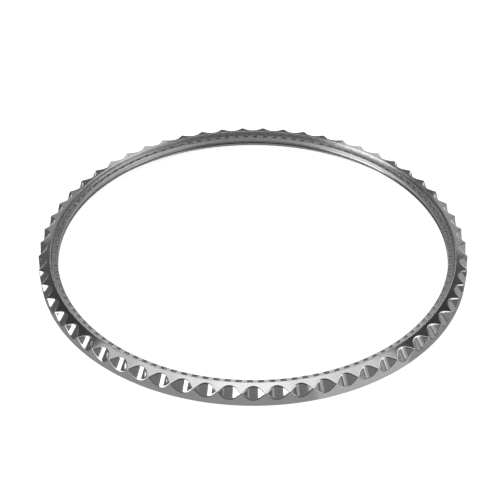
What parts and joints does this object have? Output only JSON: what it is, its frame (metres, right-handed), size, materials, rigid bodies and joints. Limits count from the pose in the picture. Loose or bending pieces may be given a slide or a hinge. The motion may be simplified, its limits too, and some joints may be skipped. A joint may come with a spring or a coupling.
{
  "type": "watch bezel",
  "caption": "Fluted steel rotating bezel for a diver's watch: grip ring with an insert seat, a pressed-in click ring and a split retaining wire that turns on the case neck.",
  "frame": {"origin": "on the bezel's axis, in the plane of the dial-side edge it rests on", "axes": "+Z along the bezel's axis, from the dial side to the case side with the click notches; +X and +Y through the middles of flutes"},
  "size_m": [0.04, 0.04, 0.0019],
  "materials": {
    "bezel_ring": "satin turned slopes, polished flutes",
    "click_ring": "fine turned, unpolished",
    "retaining_wire": "bright drawn spring wire"
  },
  "bodies": {
    "bezel": {"bezel_ring": "bezel_ring", "click_ring": "click_ring"},
    "wire": {"retaining_wire": "retaining_wire"}
  },
  "joints": [
    {"name": "bezel_turn", "type": "hinge", "parent": "bezel", "child": "wire", "pos_m": [0, 0, 0.00109], "axis": [0, 0, 1], "continuous": true}
  ]
}
